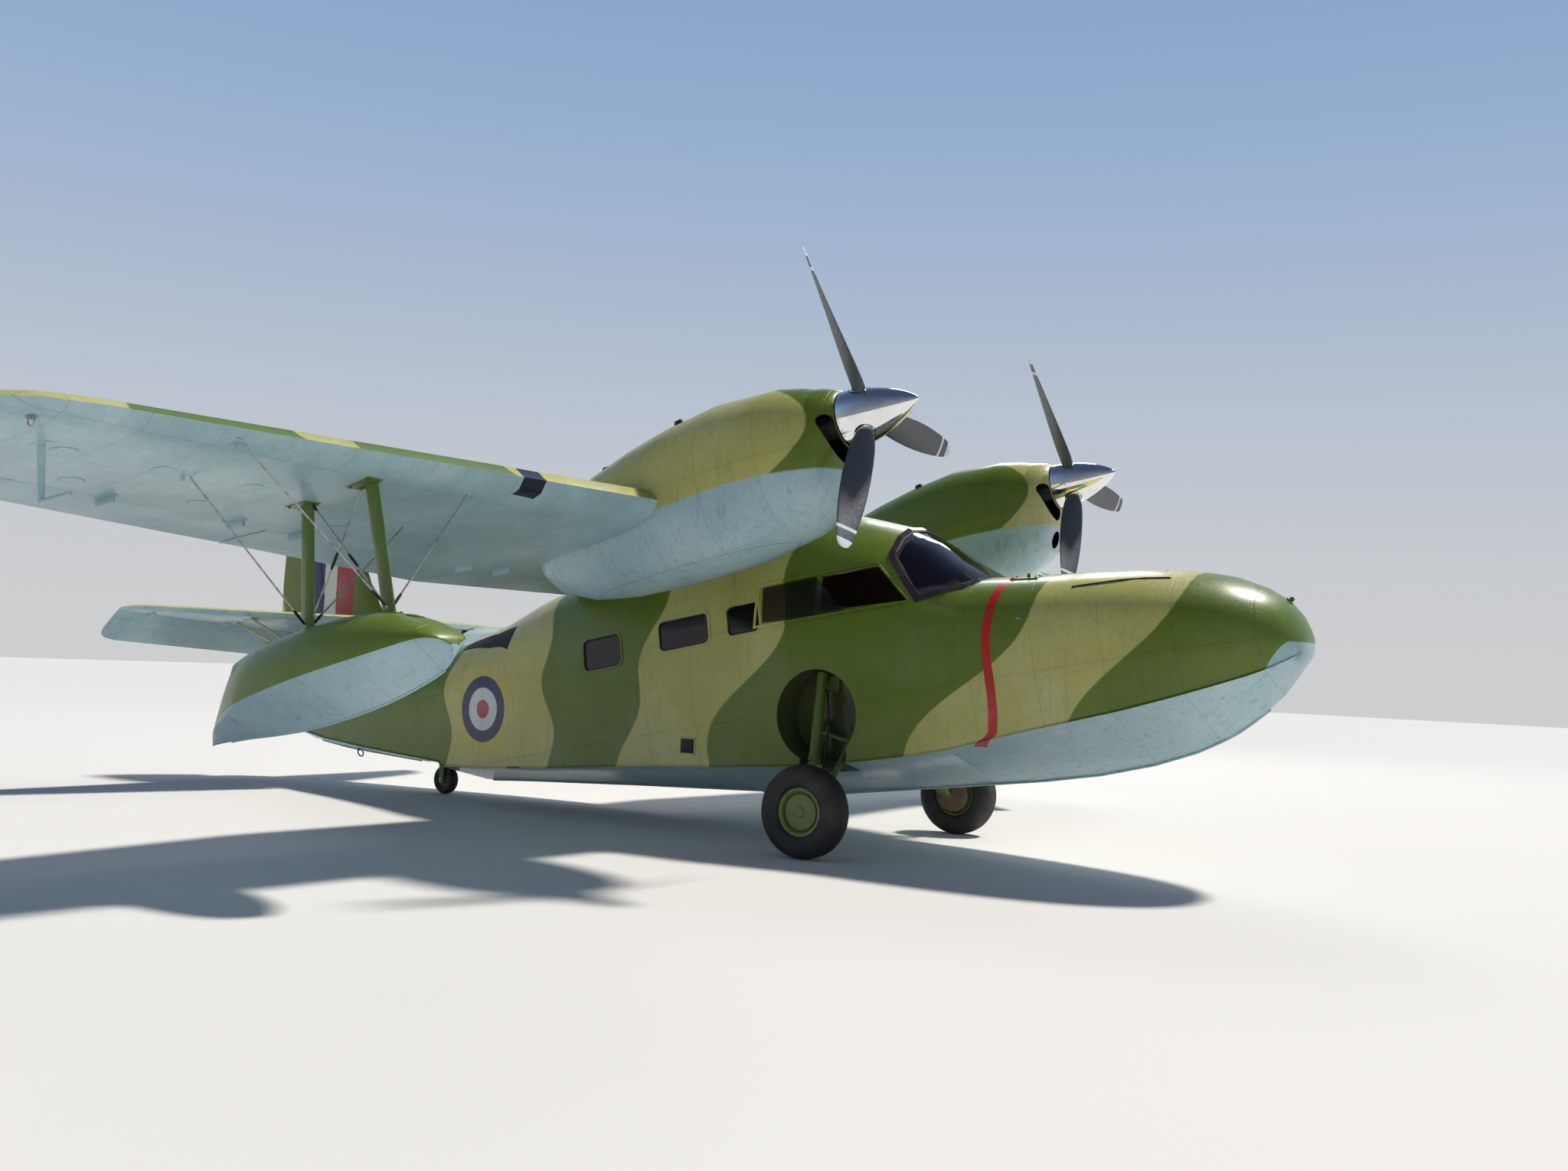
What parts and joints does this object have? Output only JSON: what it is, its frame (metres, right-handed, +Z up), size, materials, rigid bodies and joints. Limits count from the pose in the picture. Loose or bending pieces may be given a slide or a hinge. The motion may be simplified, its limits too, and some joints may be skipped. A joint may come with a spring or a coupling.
{
  "type": "twin-engine amphibious flying boat",
  "caption": "Twin-engined amphibious flying boat with a stepped hull, high wing, underwing floats and a retractable tailwheel gear, in camouflage paint, standing on its wheels.",
  "frame": {"origin": "on the ground, midway along the length, on the centre line", "axes": "+X forward (to the nose), +Y to port, +Z up"},
  "size_m": [9.47, 12.19, 3.6808],
  "materials": {
    "paint": "satin camouflage paint over sheet metal",
    "glazing": "clear, lightly tinted",
    "engine_metal": "cast, dull",
    "blade": "satin dark grey with pale tips",
    "spinner_chrome": "polished",
    "tyre": "matt rubber",
    "upholstery": "worn, matt",
    "cockpit": "matt black"
  },
  "bodies": {
    "airframe": {"hull_cabin": "paint", "hull_bow": "paint", "hull_tail": "paint", "windshield": "glazing", "window_aft_port": "glazing", "window_aft_starboard": "glazing", "window_middle_port": "glazing", "window_middle_starboard": "glazing", "window_front_port": "glazing", "window_front_starboard": "glazing", "pilot_pane_port": "glazing", "pilot_pane_starboard": "glazing", "pane_rails_starboard": "paint", "wing_center": "paint", "wing_port": "paint", "wing_starboard": "paint", "fin": "paint", "tailplane_port": "paint", "tailplane_starboard": "paint", "tail_strut_port": "paint", "tail_strut_starboard": "paint", "nacelle_port": "paint", "nacelle_starboard": "paint", "engine_port": "engine_metal", "engine_starboard": "engine_metal", "float_port": "paint", "float_starboard": "paint", "float_struts_port": "paint", "float_struts_starboard": "paint", "main_leg_port": "paint", "main_leg_starboard": "paint", "pilot_seat": "upholstery", "copilot_seat": "upholstery", "cabin_bench": "upholstery", "instrument_panel": "cockpit", "control_yoke": "cockpit"},
    "rudder": {"rudder": "paint"},
    "cabin_door": {"cabin_door": "paint"},
    "bow_hatch": {"bow_hatch": "paint"},
    "tail_fork": {"tail_fork": "paint"},
    "tail_wheel": {"tail_hub": "paint", "tail_tyre": "tyre"},
    "flap_inner_port": {"flap_inner_port": "paint"},
    "flap_outer_port": {"flap_outer_port": "paint"},
    "aileron_port": {"aileron_port": "paint"},
    "elevator_port": {"elevator_port": "paint"},
    "propeller_port": {"propeller_port": "blade", "spinner_port": "spinner_chrome"},
    "main_wheel_port": {"main_hub_port": "paint", "main_tyre_port": "tyre"},
    "flap_inner_starboard": {"flap_inner_starboard": "paint"},
    "flap_outer_starboard": {"flap_outer_starboard": "paint"},
    "aileron_starboard": {"aileron_starboard": "paint"},
    "elevator_starboard": {"elevator_starboard": "paint"},
    "propeller_starboard": {"propeller_starboard": "blade", "spinner_starboard": "spinner_chrome"},
    "main_wheel_starboard": {"main_hub_starboard": "paint", "main_tyre_starboard": "tyre"}
  },
  "joints": [
    {"name": "flap_inner_port_hinge", "type": "hinge", "parent": "airframe", "child": "flap_inner_port", "pos_m": [-0.17919, 0.81, 1.85053], "axis": [-0.0628, 0.998, 0], "range_deg": [-40, 0]},
    {"name": "flap_inner_starboard_hinge", "type": "hinge", "parent": "airframe", "child": "flap_inner_starboard", "pos_m": [-0.17919, -0.81, 1.85053], "axis": [0.0628, 0.998, 0], "range_deg": [-40, 0]},
    {"name": "flap_outer_port_hinge", "type": "hinge", "parent": "airframe", "child": "flap_outer_port", "pos_m": [-0.2578, 2.105, 1.85145], "axis": [0.0805, 0.9958, 0.0438], "range_deg": [-40, 0]},
    {"name": "flap_outer_starboard_hinge", "type": "hinge", "parent": "airframe", "child": "flap_outer_starboard", "pos_m": [-0.2578, -2.105, 1.85145], "axis": [-0.0805, 0.9958, -0.0438], "range_deg": [-40, 0]},
    {"name": "aileron_port_hinge", "type": "hinge", "parent": "airframe", "child": "aileron_port", "pos_m": [-0.11754, 3.84, 1.92771], "axis": [0.0852, 0.9955, 0.0408], "range_deg": [-22, 22]},
    {"name": "aileron_starboard_hinge", "type": "hinge", "parent": "airframe", "child": "aileron_starboard", "pos_m": [-0.11754, -3.84, 1.92771], "axis": [-0.0852, 0.9955, -0.0408], "range_deg": [-22, 22]},
    {"name": "elevator_port_hinge", "type": "hinge", "parent": "airframe", "child": "elevator_port", "pos_m": [-3.87, 0.2, 1.34556], "axis": [0, 0.9985, 0.0555], "range_deg": [0, 50]},
    {"name": "elevator_starboard_hinge", "type": "hinge", "parent": "airframe", "child": "elevator_starboard", "pos_m": [-3.87, -0.2, 1.34556], "axis": [0, 0.9985, -0.0555], "range_deg": [0, 50]},
    {"name": "rudder_hinge", "type": "hinge", "parent": "airframe", "child": "rudder", "pos_m": [-3.995, 0, 1.032], "axis": [-0.1908, 0, 0.9816], "range_deg": [-25, 25]},
    {"name": "cabin_door_hinge", "type": "hinge", "parent": "airframe", "child": "cabin_door", "pos_m": [-0.42024, 0.727, 1.02438], "axis": [0.1908, 0, -0.9816], "range_deg": [0, 95]},
    {"name": "bow_hatch_hinge", "type": "hinge", "parent": "airframe", "child": "bow_hatch", "pos_m": [3.18, -0.245, 1.90132], "axis": [0.9995, 0, 0.0315], "range_deg": [0, 100]},
    {"name": "propeller_port_spin", "type": "hinge", "parent": "airframe", "child": "propeller_port", "pos_m": [2.498, 1.634, 2.745], "axis": [0.9715, 0, 0.2368], "continuous": true},
    {"name": "propeller_starboard_spin", "type": "hinge", "parent": "airframe", "child": "propeller_starboard", "pos_m": [2.498, -1.634, 2.745], "axis": [0.9715, 0, 0.2368], "continuous": true},
    {"name": "main_wheel_port_roll", "type": "hinge", "parent": "airframe", "child": "main_wheel_port", "pos_m": [1.875, 1.115, 0.3], "axis": [0, 1, 0], "continuous": true},
    {"name": "main_wheel_starboard_roll", "type": "hinge", "parent": "airframe", "child": "main_wheel_starboard", "pos_m": [1.875, -1.115, 0.3], "axis": [0, 1, 0], "continuous": true},
    {"name": "tail_fork_swivel", "type": "hinge", "parent": "airframe", "child": "tail_fork", "pos_m": [-2.40388, 0, 0.3], "axis": [-0.1908, 0, 0.9816], "continuous": true},
    {"name": "tail_wheel_roll", "type": "hinge", "parent": "tail_fork", "child": "tail_wheel", "pos_m": [-2.455, 0, 0.121], "axis": [0, 1, 0], "continuous": true}
  ],
  "couplings": [
    {"joint": "flap_inner_starboard_hinge", "follows": "flap_inner_port_hinge", "ratio": 1},
    {"joint": "flap_outer_port_hinge", "follows": "flap_inner_port_hinge", "ratio": 1},
    {"joint": "flap_outer_starboard_hinge", "follows": "flap_inner_port_hinge", "ratio": 1},
    {"joint": "aileron_starboard_hinge", "follows": "aileron_port_hinge", "ratio": -1},
    {"joint": "elevator_starboard_hinge", "follows": "elevator_port_hinge", "ratio": 1}
  ]
}
